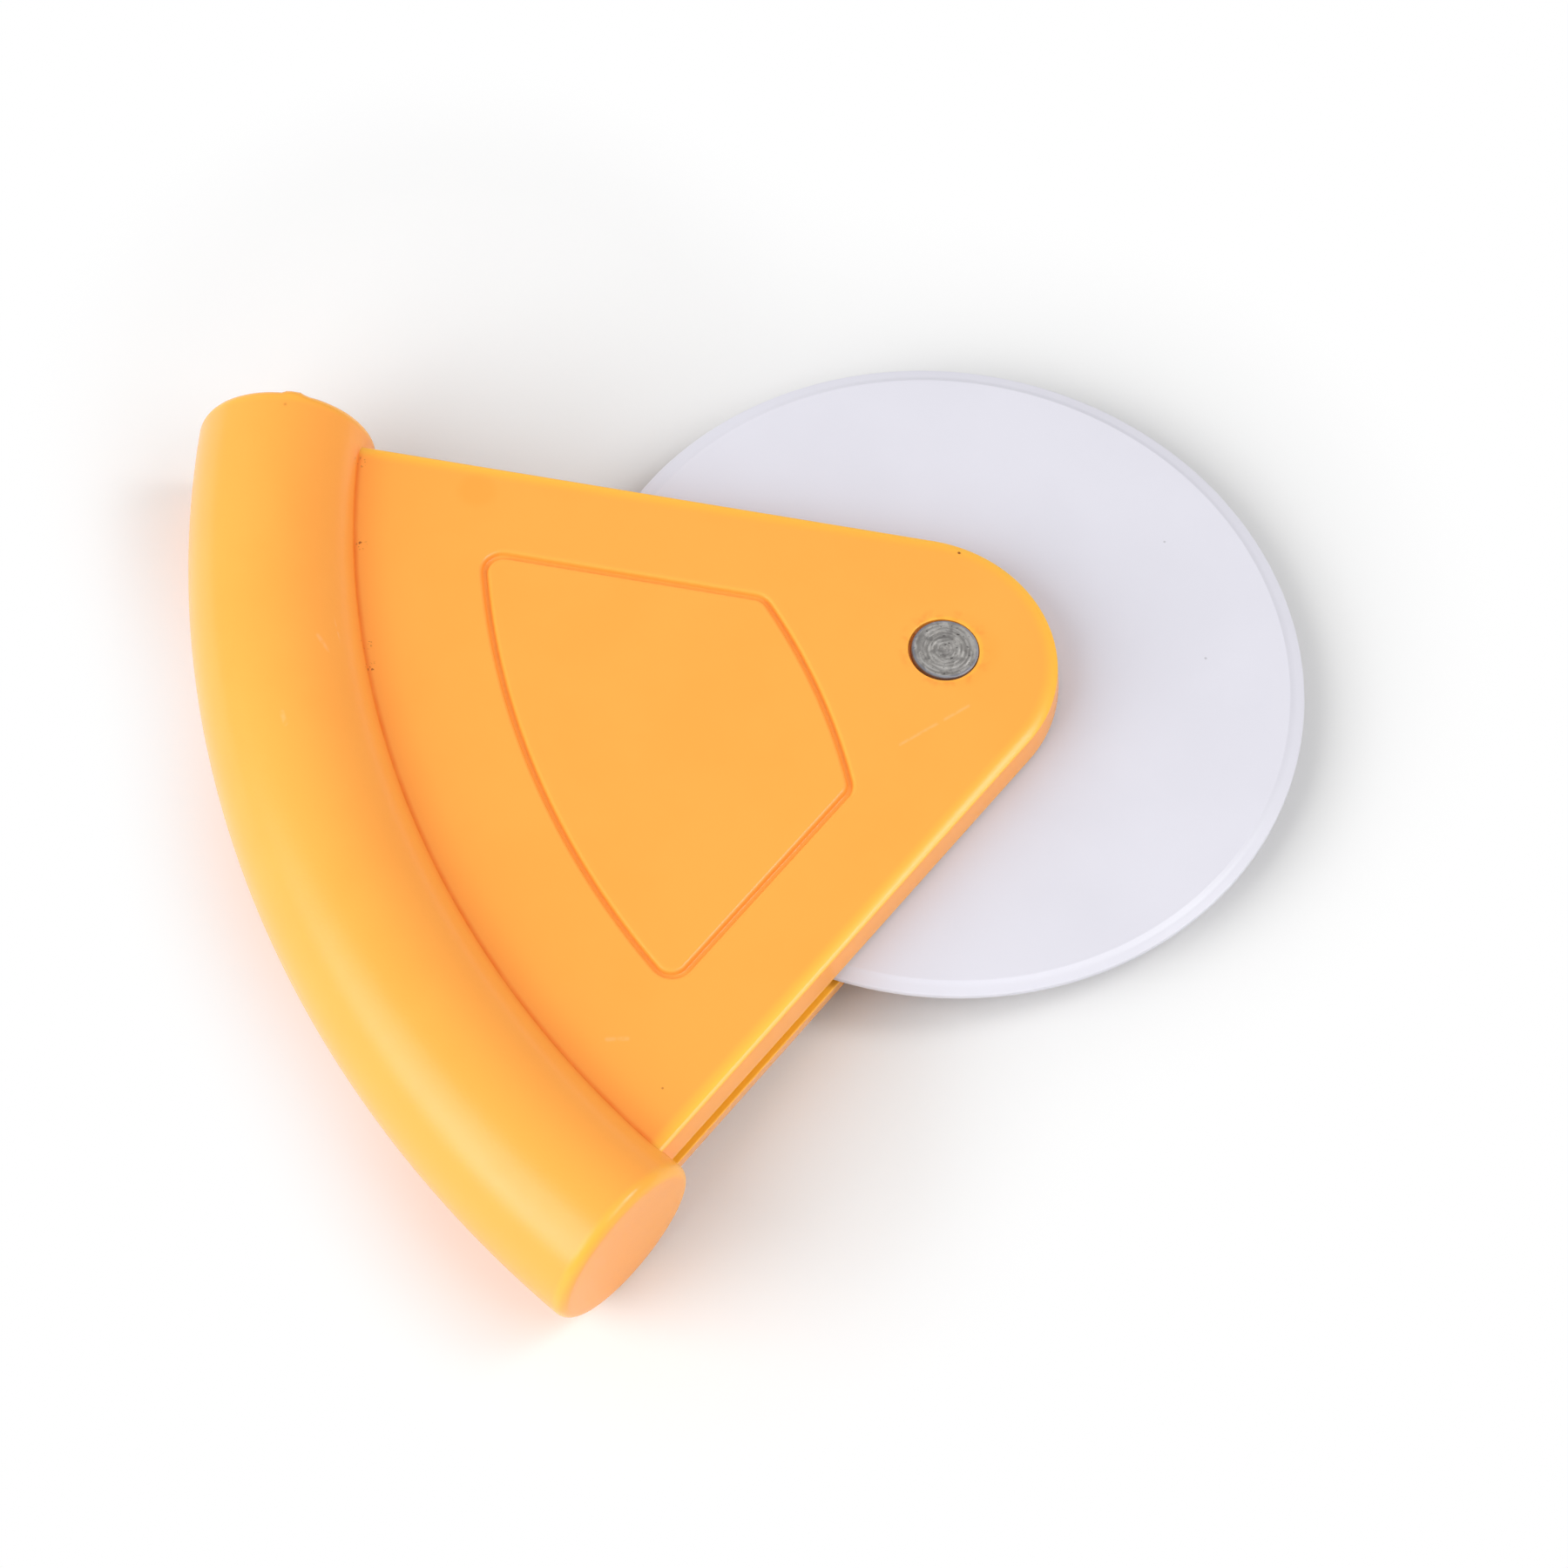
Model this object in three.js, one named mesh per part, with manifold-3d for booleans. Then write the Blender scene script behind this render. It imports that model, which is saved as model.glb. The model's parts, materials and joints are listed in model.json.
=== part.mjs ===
// Pizza wheel with a handle shaped as a slice of pizza: two flat cheeks, a rounded crust as the grip,
// a bevelled wheel in the slot between the cheeks and a flush two-part rivet as its axle.
// Millimetres. The cheeks lie parallel to XY, the axle runs along Z, and the wheel is at the +X end.
import * as THREE from 'three';
import { mergeVertices } from 'three/addons/utils/BufferGeometryUtils.js';
import Module from 'manifold-3d';

const wasm = await Module();
wasm.setup();

// Wheel
const wheelRadius = 32;
const wheelThickness = 1.2;
const rimThickness = 0.5;
const bevelWidth = 1.3;
const bevelKneeFromRim = 0.9;
const bevelKneeDrop = 0.18;
const runningGap = 0.4;

// Rivet
const shankRadius = 2.3;
const pinRadius = 1.4;
const headRadius = 2.95;
const headThickness = 1.3;
const headChamfer = 0.2;
const boreClearance = 0.06;
const pinClearance = 0.03;
const headClearance = 0.15;
const seatClearance = 0.05;
const sleeveRoof = 0.4;

// Cheeks
const cheekThickness = 3.2;
const halfAngle = THREE.MathUtils.degToRad(30.5);
const edgeFromAxle = 11.46;
const tipFromAxle = 10;
const edgeDraft = THREE.MathUtils.degToRad(7.4);
const shoulderHeight = 0.35;
const shoulderWidth = 1.4;

// Groove that outlines a panel on each cheek
const panelFromEdge = 9.23;
const panelFromCrust = 11.22;
const panelFromAxle = 12.04;
const panelNoseRadius = 58.4;
const panelCorner = 1.7;
const grooveWidth = 1.1;
const grooveFloor = 0.5;
const grooveDepth = 0.75;

// Crust
const gripRadius = 7.88;
const creaseRadius = 85.13;
const crustFromRim = 17.13;
const gripOverhang = 2.12;
const gripEndFillet = 0.95;
const backWall = 3;
const seam = 0.12;
const tongueGap = 0.1;
const tongueEndGap = 0.3;
const tongueInset = 1.2;

// Facets
const wheelFacets = 96;
const rivetFacets = 40;
const gripFacets = 40;
const gripSteps = 36;
const arcDivisions = 10;
const filletSteps = 4;
const shoulderSteps = 4;
const mergeDistance = 1e-5;

// Derived heights, all measured from the middle of the slot
const slotHalf = wheelThickness / 2 + runningGap;
const faceHeight = slotHalf + cheekThickness;
const seatHeight = faceHeight - headThickness;
const boreRoof = seatHeight - sleeveRoof;

// Derived plan: the crust's arcs share one centre on the X axis
const creaseX = -(wheelRadius + crustFromRim);
const crustX = creaseX + creaseRadius;
const gripCentreRadius = creaseRadius + Math.sqrt(gripRadius ** 2 - faceHeight ** 2);
const pocketRadius = gripCentreRadius + gripRadius - backWall;
const tongueRadius = pocketRadius - tongueEndGap;
const tipX = (tipFromAxle - edgeFromAxle) / (1 - Math.sin(halfAngle));
const tipRadius = tipFromAxle - tipX;
const edgeNormal = Math.PI / 2 - halfAngle;

// Turns a closed geometry into a solid for cutting and joining
function solid(geometry) {
  const bare = geometry.clone();
  bare.deleteAttribute('normal');
  bare.deleteAttribute('uv');
  const merged = mergeVertices(bare, mergeDistance);
  return new wasm.Manifold(new wasm.Mesh({
    numProp: 3,
    vertProperties: new Float32Array(merged.attributes.position.array),
    triVerts: new Uint32Array(merged.index.array),
  }));
}

// Turns a solid back into a geometry with flat facets
function geometryOf(body) {
  const mesh = body.getMesh();
  const geometry = new THREE.BufferGeometry();
  geometry.setAttribute('position', new THREE.BufferAttribute(mesh.vertProperties, 3));
  geometry.setIndex(new THREE.BufferAttribute(mesh.triVerts, 1));
  geometry.computeVertexNormals();
  return geometry;
}

// Closed skin over convex rings of equal count, each wound anticlockwise about the way the rings advance
function loft(rings) {
  const count = rings[0].length;
  const positions = [];
  const indices = [];
  for (const ring of rings) {
    for (const point of ring) positions.push(point.x, point.y, point.z);
  }
  for (let level = 0; level + 1 < rings.length; level += 1) {
    for (let i = 0; i < count; i += 1) {
      const a = level * count + i;
      const b = level * count + (i + 1) % count;
      indices.push(a, b, b + count);
      indices.push(a, b + count, a + count);
    }
  }
  const last = (rings.length - 1) * count;
  for (let i = 1; i + 1 < count; i += 1) {
    indices.push(0, i + 1, i);
    indices.push(last, last + i, last + i + 1);
  }
  const geometry = new THREE.BufferGeometry();
  geometry.setAttribute('position', new THREE.Float32BufferAttribute(positions, 3));
  geometry.setIndex(indices);
  geometry.computeVertexNormals();
  return geometry;
}

// Ring of a flat outline at one height, without the doubled points where its curves meet
function ringAt(shape, z) {
  const points = shape.getPoints(arcDivisions);
  const next = (i) => points[(i + 1) % points.length];
  const apart = points.filter((point, i) => point.distanceTo(next(i)) > mergeDistance);
  return apart.map((point) => new THREE.Vector3(point.x, point.y, z));
}

// Revolved piece about the Z axis; the profile is in radius and height, bottom first on the outside
function revolve(profile, facets) {
  const points = profile.map(([radius, height]) => new THREE.Vector2(radius, height));
  return new THREE.LatheGeometry(points, facets).rotateX(Math.PI / 2);
}

// Angle, seen from a point on the X axis, where a circle about it meets a line along the slice's upper edge
function meetingAngle(centreX, radius, lineFromAxle) {
  return Math.acos((lineFromAxle - centreX * Math.sin(halfAngle)) / radius);
}

// Outline of the slice, grown outwards, from the tip to an arc about the crust's centre
function sliceOutline(grow, backRadius) {
  const back = edgeNormal + meetingAngle(crustX, backRadius, edgeFromAxle + grow);
  const shape = new THREE.Shape();
  shape.absarc(tipX, 0, tipRadius + grow, -edgeNormal, edgeNormal, false);
  shape.absarc(crustX, 0, backRadius, back, 2 * Math.PI - back, false);
  return shape;
}

// Outline of the groove's centre line, grown outwards, with rounded corners
function panelOutline(grow) {
  const lineFromAxle = edgeFromAxle - panelFromEdge;
  const noseX = -(panelFromAxle + panelNoseRadius);
  const outerRadius = creaseRadius - panelFromCrust;
  const nose = edgeNormal - meetingAngle(noseX, panelNoseRadius - panelCorner, lineFromAxle - panelCorner);
  const outer = edgeNormal + meetingAngle(crustX, outerRadius - panelCorner, lineFromAxle - panelCorner);
  const noseCorner = new THREE.Vector2(noseX + (panelNoseRadius - panelCorner) * Math.cos(nose),
    (panelNoseRadius - panelCorner) * Math.sin(nose));
  const outerCorner = new THREE.Vector2(crustX + (outerRadius - panelCorner) * Math.cos(outer),
    (outerRadius - panelCorner) * Math.sin(outer));
  const corner = panelCorner + grow;
  const turn = 2 * Math.PI;
  const shape = new THREE.Shape();
  shape.absarc(noseX, 0, panelNoseRadius + grow, -nose, nose, false);
  shape.absarc(noseCorner.x, noseCorner.y, corner, nose, edgeNormal, false);
  shape.absarc(outerCorner.x, outerCorner.y, corner, edgeNormal, outer, false);
  shape.absarc(crustX, 0, outerRadius + grow, outer, turn - outer, false);
  shape.absarc(outerCorner.x, -outerCorner.y, corner, turn - outer, turn - edgeNormal, false);
  shape.absarc(noseCorner.x, -noseCorner.y, corner, turn - edgeNormal, turn - nose, false);
  return shape;
}

// Side of a cheek as pairs of inset and height: a drafted wall, then a rounded shoulder up to the face
function sideProfile() {
  const wallInset = (cheekThickness - shoulderHeight) * Math.tan(edgeDraft);
  const shoulderRadius = (shoulderWidth ** 2 + shoulderHeight ** 2) / (2 * shoulderHeight);
  const slope = Math.asin(shoulderWidth / shoulderRadius);
  const profile = [[0, slotHalf]];
  for (let step = 0; step <= shoulderSteps; step += 1) {
    const angle = slope * (1 - step / shoulderSteps);
    const inset = wallInset + shoulderWidth - shoulderRadius * Math.sin(angle);
    profile.push([inset, faceHeight - shoulderRadius * (1 - Math.cos(angle))]);
  }
  return profile;
}

// Cheek on the +Z side of the slot
function buildCheek() {
  const rings = sideProfile().map(([inset, z]) => ringAt(sliceOutline(-inset, tongueRadius - inset), z));
  let cheek = solid(loft(rings));

  // The tongue reaches the middle of the slot inside the crust, so that the pair keeps the slot open
  const padFront = creaseRadius + tongueInset;
  const padTop = slotHalf + cheekThickness / 2;
  const pad = solid(loft([
    ringAt(sliceOutline(-tongueInset, tongueRadius - tongueInset), tongueGap / 2),
    ringAt(sliceOutline(-tongueInset, tongueRadius - tongueInset), padTop),
  ]));
  const padLimit = solid(revolve([
    [0, -faceHeight],
    [padFront, -faceHeight],
    [padFront, faceHeight],
    [0, faceHeight],
  ], wheelFacets * 2).translate(crustX, 0, 0));
  cheek = cheek.add(pad.subtract(padLimit));

  // Groove with sloping walls
  const cutTop = faceHeight + grooveDepth;
  const wall = (grooveWidth - grooveFloor) / 2;
  const outside = solid(loft([
    ringAt(panelOutline(grooveFloor / 2), faceHeight - grooveDepth),
    ringAt(panelOutline(grooveFloor / 2 + 2 * wall), cutTop),
  ]));
  const inside = solid(loft([
    ringAt(panelOutline(-grooveFloor / 2), faceHeight - grooveDepth),
    ringAt(panelOutline(-grooveFloor / 2 - 2 * wall), cutTop),
  ]));
  cheek = cheek.subtract(outside.subtract(inside));

  // Stepped hole for the rivet
  const hole = solid(revolve([
    [0, 0],
    [shankRadius + seatClearance, 0],
    [shankRadius + seatClearance, seatHeight - seatClearance],
    [headRadius + headClearance, seatHeight - seatClearance],
    [headRadius + headClearance, faceHeight + headThickness],
    [0, faceHeight + headThickness],
  ], rivetFacets));
  return geometryOf(cheek.subtract(hole));
}

// Curved bar with rounded ends and a pocket that takes both tongues
function buildGrip() {
  const edgeAngle = edgeNormal + meetingAngle(crustX, creaseRadius, edgeFromAxle);
  const endAngle = Math.PI - edgeAngle + gripOverhang / creaseRadius;
  const rings = [];
  const addRing = (angle, radius) => {
    const ring = [];
    for (let i = 0; i < gripFacets; i += 1) {
      const turn = (i / gripFacets) * 2 * Math.PI;
      const reach = gripCentreRadius + radius * Math.cos(turn);
      const x = crustX - reach * Math.cos(angle);
      ring.push(new THREE.Vector3(x, reach * Math.sin(angle), radius * Math.sin(turn)));
    }
    rings.push(ring);
  };
  const filletAngle = gripEndFillet / gripCentreRadius;
  for (let step = 0; step <= filletSteps; step += 1) {
    const angle = (step / filletSteps) * Math.PI / 2;
    const radius = gripRadius - gripEndFillet * (1 - Math.cos(angle));
    addRing(-endAngle + filletAngle * (1 - Math.sin(angle)), radius);
  }
  rings.reverse();
  const mirrored = rings.map((ring) => ring.map((point) => point.clone().setY(-point.y))).reverse();
  for (let step = 1; step < gripSteps; step += 1) {
    addRing((endAngle - filletAngle) * (2 * step / gripSteps - 1), gripRadius);
  }
  const bar = solid(loft(rings.concat(mirrored)));

  // The pocket follows the sides of both cheeks
  const upper = sideProfile().map(([inset, z]) => [seam - inset, z + seam]);
  const lower = upper.map(([grow, z]) => [grow, -z]).reverse();
  const levels = lower.concat(upper).map(([grow, z]) => ringAt(sliceOutline(grow, pocketRadius), z));
  return geometryOf(bar.subtract(solid(loft(levels))));
}

// Disc with a hollow bevel on both faces and a bore that runs on the rivet
function buildWheel() {
  const half = wheelThickness / 2;
  const kneeRadius = wheelRadius - bevelKneeFromRim;
  const kneeHalf = half - bevelKneeDrop;
  const bore = shankRadius + boreClearance;
  return revolve([
    [bore, -half],
    [wheelRadius - bevelWidth, -half],
    [kneeRadius, -kneeHalf],
    [wheelRadius, -rimThickness / 2],
    [wheelRadius, rimThickness / 2],
    [kneeRadius, kneeHalf],
    [wheelRadius - bevelWidth, half],
    [bore, half],
    [bore, -half],
  ], wheelFacets);
}

// Headed sleeve, put in from the front
function buildSleeve() {
  const tubeEnd = -seatHeight + seatClearance;
  const boreRadius = pinRadius + pinClearance;
  return revolve([
    [0, boreRoof],
    [boreRadius, boreRoof],
    [boreRadius, tubeEnd],
    [shankRadius, tubeEnd],
    [shankRadius, seatHeight],
    [headRadius, seatHeight],
    [headRadius, faceHeight - headChamfer],
    [headRadius - headChamfer, faceHeight],
    [0, faceHeight],
  ], rivetFacets);
}

// Headed pin, driven into the sleeve from the rear
function buildPin() {
  const pinEnd = boreRoof - seatClearance;
  return revolve([
    [0, -faceHeight],
    [headRadius - headChamfer, -faceHeight],
    [headRadius, headChamfer - faceHeight],
    [headRadius, -seatHeight],
    [pinRadius, -seatHeight],
    [pinRadius, pinEnd],
    [0, pinEnd],
  ], rivetFacets);
}

function finish(color, roughness, metalness) {
  return new THREE.MeshStandardMaterial({ color, roughness, metalness });
}

const orangePlastic = () => finish(0xf79a2e, 0.42, 0);
const whitePlastic = () => finish(0xe2e2ea, 0.4, 0);
const turnedSteel = () => finish(0x8c8c90, 0.35, 1);

function piece(name, geometry, material) {
  const mesh = new THREE.Mesh(geometry, material);
  mesh.name = name;
  return mesh;
}

const handle = new THREE.Group();
const rearCheek = piece('rear_cheek', buildCheek(), orangePlastic());
rearCheek.rotation.x = Math.PI;
handle.add(
  piece('crust_grip', buildGrip(), orangePlastic()),
  piece('front_cheek', buildCheek(), orangePlastic()),
  rearCheek,
  piece('rivet_sleeve', buildSleeve(), turnedSteel()),
  piece('rivet_pin', buildPin(), turnedSteel()),
);

const pizzaWheel = new THREE.Group();
pizzaWheel.add(handle, piece('cutting_wheel', buildWheel(), whitePlastic()));

// The origin is the middle of the overall box
const crustOuterX = crustX - gripCentreRadius - gripRadius;
pizzaWheel.position.x = -(wheelRadius + crustOuterX) / 2;

export default pizzaWheel;
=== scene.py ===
"""Looks of a pizza wheel whose handle is shaped as a slice: fine meshes, finishes, studio and camera.

The meshes are worked out in millimetres from the axle, and placed in the frame in metres.
"""
import json
import math

import bmesh
import bpy
from mathutils import Matrix, Vector
from mathutils.geometry import tessellate_polygon


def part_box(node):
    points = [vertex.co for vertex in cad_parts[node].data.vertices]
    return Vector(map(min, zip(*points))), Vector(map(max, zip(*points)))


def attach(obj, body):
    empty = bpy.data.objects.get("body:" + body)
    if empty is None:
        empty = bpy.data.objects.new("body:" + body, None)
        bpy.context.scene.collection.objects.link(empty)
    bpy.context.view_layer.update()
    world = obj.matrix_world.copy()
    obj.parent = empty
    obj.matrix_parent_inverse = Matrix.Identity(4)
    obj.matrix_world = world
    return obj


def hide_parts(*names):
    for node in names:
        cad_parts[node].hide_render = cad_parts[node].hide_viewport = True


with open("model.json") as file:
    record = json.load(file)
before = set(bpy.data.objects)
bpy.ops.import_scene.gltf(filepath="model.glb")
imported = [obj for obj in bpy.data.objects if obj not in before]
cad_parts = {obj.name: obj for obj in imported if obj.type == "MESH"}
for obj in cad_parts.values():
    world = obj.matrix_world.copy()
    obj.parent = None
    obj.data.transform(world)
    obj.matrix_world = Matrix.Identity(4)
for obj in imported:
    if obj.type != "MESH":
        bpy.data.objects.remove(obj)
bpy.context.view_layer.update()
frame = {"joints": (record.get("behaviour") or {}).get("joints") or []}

MM = 0.001
AXLE = Vector(frame["joints"][0]["pos_m"])
HAIR = Vector((0.0005, 0.0005, 0.0005))


def reach(node):
    """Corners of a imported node's box in mm from the axle, drawn in by a hair against rounding."""
    low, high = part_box(node)
    return (low - AXLE) / MM + HAIR, (high - AXLE) / MM - HAIR


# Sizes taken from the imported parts
WHEEL_RADIUS = reach("cutting_wheel")[1].y
WHEEL_HALF = reach("cutting_wheel")[1].z
FACE_HEIGHT = reach("front_cheek")[1].z
TIP_FROM_AXLE = reach("front_cheek")[1].x
TONGUE_GAP_HALF = reach("front_cheek")[0].z
GRIP_RADIUS = reach("crust_grip")[1].z
CRUST_BACK_X = reach("crust_grip")[0].x
HEAD_RADIUS = reach("rivet_sleeve")[1].x
PIN_END = reach("rivet_pin")[1].z
TUBE_END = reach("rivet_sleeve")[0].z

# Wheel
RIM_HALF = 0.25
RIM_FILLET = 0.12
BEVEL_WIDTH = 1.3
BEVEL_EDGE = 0.3
KNEE_FROM_RIM = 0.9
KNEE_DROP = 0.18
KNEE_BLEND = 2
RUNNING_GAP = 0.4
BORE_RADIUS = 2.36
BORE_FILLET = 0.1

# Rivet
SHANK_RADIUS = 2.3
PIN_RADIUS = 1.4
PIN_CLEARANCE = 0.03
HEAD_THICKNESS = 1.3
HEAD_FILLET = 0.14
HEAD_CLEARANCE = 0.17
SEAT_CLEARANCE = 0.05
HOLE_LIP = 0.09
HOLE_SHIFT = -0.13
HOLE_LEDGE = 0.6
LEDGE_CLEARANCE = 0.03
TURNED_FROM = 0.45
TURNED_TO = 2.6
TURNED_PITCH = 0.36
TURNED_DEPTH = 0.012
NIB_FLAT = 0.24
NIB_HEIGHT = 0.04

# Cheeks
HALF_ANGLE = math.radians(30.5)
EDGE_FROM_AXLE = 11.46
EDGE_DRAFT = math.radians(7.4)
SHOULDER_HEIGHT = 0.35
SHOULDER_WIDTH = 1.4
SHOULDER_EDGE = 0.12
SLOT_EDGE = 0.12
FLAT_MARGIN = 0.25

# Groove round the panel
PANEL_FROM_EDGE = 9.23
PANEL_FROM_CRUST = 11.22
PANEL_FROM_AXLE = 12.04
PANEL_NOSE_RADIUS = 58.4
PANEL_CORNER = 1.7
GROOVE_WIDTH = 0.7
GROOVE_FLOOR = 0.36
GROOVE_DEPTH = 0.5
GROOVE_LIP = 0.32
GROOVE_BED = 0.12

# Crust
CREASE_RADIUS = 85.13
GRIP_OVERHANG = 2.12
GRIP_END_FILLET = 0.95
BACK_WALL = 3
SEAM = 0.012
TONGUE_END_GAP = 0.3
TONGUE_INSET = 1.2

# Gate burr
BURR_REACH = 91.15
BURR_HALF = 0.8
BURR_EDGE = 0.35
BURR_HEIGHT = 0.25

# Fineness
WHEEL_SEGMENTS = 256
RIVET_SEGMENTS = 96
ARC_STEPS = 64
CORNER_STEPS = 12
FILLET_STEPS = 8
SECTION_STEPS = 96
WALL_LEVELS = 36
CRUST_RINGS = 140
END_RINGS = 10
END_FACE_RINGS = 6
SHARP_ANGLE = math.radians(32)
TINY = 1e-6

# Derived heights from the middle of the slot
SLOT_HALF = WHEEL_HALF + RUNNING_GAP
SEAT_HEIGHT = FACE_HEIGHT - HEAD_THICKNESS
SHOULDER_FOOT = FACE_HEIGHT - SHOULDER_HEIGHT
POCKET_HALF = FACE_HEIGHT + SEAM

# Derived plan: the crust's arcs share one centre on the X axis
MOUTH_DEPTH = math.sqrt(GRIP_RADIUS ** 2 - FACE_HEIGHT ** 2)
GRIP_CENTRE = CREASE_RADIUS + MOUTH_DEPTH
CRUST_X = CRUST_BACK_X + GRIP_CENTRE + GRIP_RADIUS
POCKET_RADIUS = GRIP_CENTRE + GRIP_RADIUS - BACK_WALL
TONGUE_RADIUS = POCKET_RADIUS - TONGUE_END_GAP
TIP_X = (TIP_FROM_AXLE - EDGE_FROM_AXLE) / (1 - math.sin(HALF_ANGLE))
TIP_RADIUS = TIP_FROM_AXLE - TIP_X
HOLE_RADIUS = HEAD_RADIUS + HEAD_CLEARANCE
EDGE_NORMAL = math.pi / 2 - HALF_ANGLE
WALL_INSET = (SHOULDER_FOOT - SLOT_HALF) * math.tan(EDGE_DRAFT)
FACE_INSET = WALL_INSET + SHOULDER_WIDTH


# Meshes

class Shell:
    """A skin under construction, in mm from the axle."""

    def __init__(self):
        self.points = []
        self.faces = []

    def loop(self, points):
        first = len(self.points)
        self.points.extend(Vector(point) for point in points)
        return list(range(first, len(self.points)))

    def ring(self, outline, height):
        return self.loop((x, y, height) for x, y in outline)

    def strip(self, one, other):
        """Faces between two loops of equal count, or between a loop and a single point."""
        count = max(len(one), len(other))
        for i in range(count):
            j = (i + 1) % count
            corners = [one[i % len(one)], one[j % len(one)], other[j % len(other)], other[i % len(other)]]
            self.faces.append(list(dict.fromkeys(corners)))

    def skin(self, rings):
        for one, other in zip(rings, rings[1:]):
            self.strip(one, other)

    def fill(self, outline, *holes):
        """Flat faces inside a loop, left open at the holes."""
        loops = [outline, *holes]
        order = [i for loop in loops for i in loop]
        for triangle in tessellate_polygon([[self.points[i] for i in loop] for loop in loops]):
            self.faces.append([order[i] for i in triangle])

    def piece(self, name, turned=False):
        """Blender object of the skin, in metres in the frame; a rear piece is turned over about X."""
        place = Matrix.Translation(AXLE) @ Matrix.Scale(MM, 4)
        if turned:
            place = place @ Matrix.Rotation(math.pi, 4, "X")
        mesh = bpy.data.meshes.new(name)
        mesh.from_pydata([place @ point for point in self.points], [], self.faces)
        shape = bmesh.new()
        shape.from_mesh(mesh)
        bmesh.ops.recalc_face_normals(shape, faces=shape.faces)
        shape.to_mesh(mesh)
        shape.free()
        mesh.shade_smooth()
        mesh.set_sharp_from_angle(angle=SHARP_ANGLE)
        made = bpy.data.objects.new(name, mesh)
        bpy.context.scene.collection.objects.link(made)
        return made


def arc(centre_x, centre_y, radius, start, end, steps):
    """Points of an arc, both ends included."""
    angles = [start + (end - start) * step / steps for step in range(steps + 1)]
    return [(centre_x + radius * math.cos(a), centre_y + radius * math.sin(a)) for a in angles]


def circle(radius, segments, centre_x=0):
    return arc(centre_x, 0, radius, 0, 2 * math.pi, segments)[:-1]


def soften(corners):
    """Polyline through corners of (u, v, fillet radius); a corner with no radius stays sharp."""
    points = []
    for i, (u, v, radius) in enumerate(corners):
        here = Vector((u, v))
        if radius == 0:
            points.append(here)
            continue
        back = (Vector(corners[i - 1][:2]) - here).normalized()
        ahead = (Vector(corners[(i + 1) % len(corners)][:2]) - here).normalized()
        half = back.angle(ahead) / 2
        centre = here + (back + ahead).normalized() * radius / math.sin(half)
        start = here + back * radius / math.tan(half) - centre
        end = here + ahead * radius / math.tan(half) - centre
        turn = math.pi - 2 * half
        for step in range(FILLET_STEPS + 1):
            share = step / FILLET_STEPS
            blend = start * math.sin((1 - share) * turn) + end * math.sin(share * turn)
            points.append(centre + blend / math.sin(turn))
    return points


def revolve(shell, profile, segments, closed=False):
    """Skin of a profile of (radius, height) turned about the axle; a point on the axis closes it there."""
    rings = []
    for radius, height in profile:
        outline = circle(radius, segments) if radius > TINY else [(0, 0)]
        rings.append(shell.ring(outline, height))
    shell.skin(rings + rings[:1] if closed else rings)


# Outlines of the slice and its panel

def meeting_angle(centre_x, radius, line_from_axle):
    """Angle at which a circle about a point on the X axis meets a line along the slice's edge."""
    return math.acos((line_from_axle - centre_x * math.sin(HALF_ANGLE)) / radius)


def end_angle():
    """Angle from the X axis to the crust's end faces, seen from the centre of its arcs."""
    edge = math.pi - EDGE_NORMAL - meeting_angle(CRUST_X, CREASE_RADIUS, EDGE_FROM_AXLE)
    return edge + GRIP_OVERHANG / CREASE_RADIUS


def slice_outline(grow, back_radius):
    """Outline of the slice, grown outwards, from the tip to an arc about the crust's centre."""
    back = EDGE_NORMAL + meeting_angle(CRUST_X, back_radius, EDGE_FROM_AXLE + grow)
    tip = arc(TIP_X, 0, TIP_RADIUS + grow, -EDGE_NORMAL, EDGE_NORMAL, ARC_STEPS)
    return tip + arc(CRUST_X, 0, back_radius, back, 2 * math.pi - back, ARC_STEPS)


def panel_outline(grow):
    """Centre line of the groove, grown outwards, with rounded corners."""
    line = EDGE_FROM_AXLE - PANEL_FROM_EDGE - PANEL_CORNER
    nose_x = -(PANEL_FROM_AXLE + PANEL_NOSE_RADIUS)
    nose_reach = PANEL_NOSE_RADIUS - PANEL_CORNER
    outer_reach = CREASE_RADIUS - PANEL_FROM_CRUST - PANEL_CORNER
    nose = EDGE_NORMAL - meeting_angle(nose_x, nose_reach, line)
    outer = EDGE_NORMAL + meeting_angle(CRUST_X, outer_reach, line)
    corner = PANEL_CORNER + grow
    nose_arc = arc(nose_x, 0, nose_reach + corner, -nose, nose, ARC_STEPS)
    outer_arc = arc(CRUST_X, 0, outer_reach + corner, outer, 2 * math.pi - outer, ARC_STEPS)
    nose_corner = arc(nose_x + nose_reach * math.cos(nose), nose_reach * math.sin(nose),
                      corner, nose, EDGE_NORMAL, CORNER_STEPS)
    outer_corner = arc(CRUST_X + outer_reach * math.cos(outer), outer_reach * math.sin(outer),
                       corner, EDGE_NORMAL, outer, CORNER_STEPS)
    upper = nose_corner[1:] + outer_corner
    lower = [(x, -y) for x, y in reversed(upper)]
    return nose_arc + upper + outer_arc[1:] + lower[1:-1]


def shoulder():
    """Pairs of inset and height along a cheek's rounded shoulder, from the top of its wall to its face."""
    radius = (SHOULDER_WIDTH ** 2 + SHOULDER_HEIGHT ** 2) / (2 * SHOULDER_HEIGHT)
    slope = math.asin(SHOULDER_WIDTH / radius)
    angles = [slope * (1 - step / FILLET_STEPS) for step in range(FILLET_STEPS + 1)]
    return [(FACE_INSET - radius * math.sin(a), FACE_HEIGHT - radius * (1 - math.cos(a))) for a in angles]


# Cheeks

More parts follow.
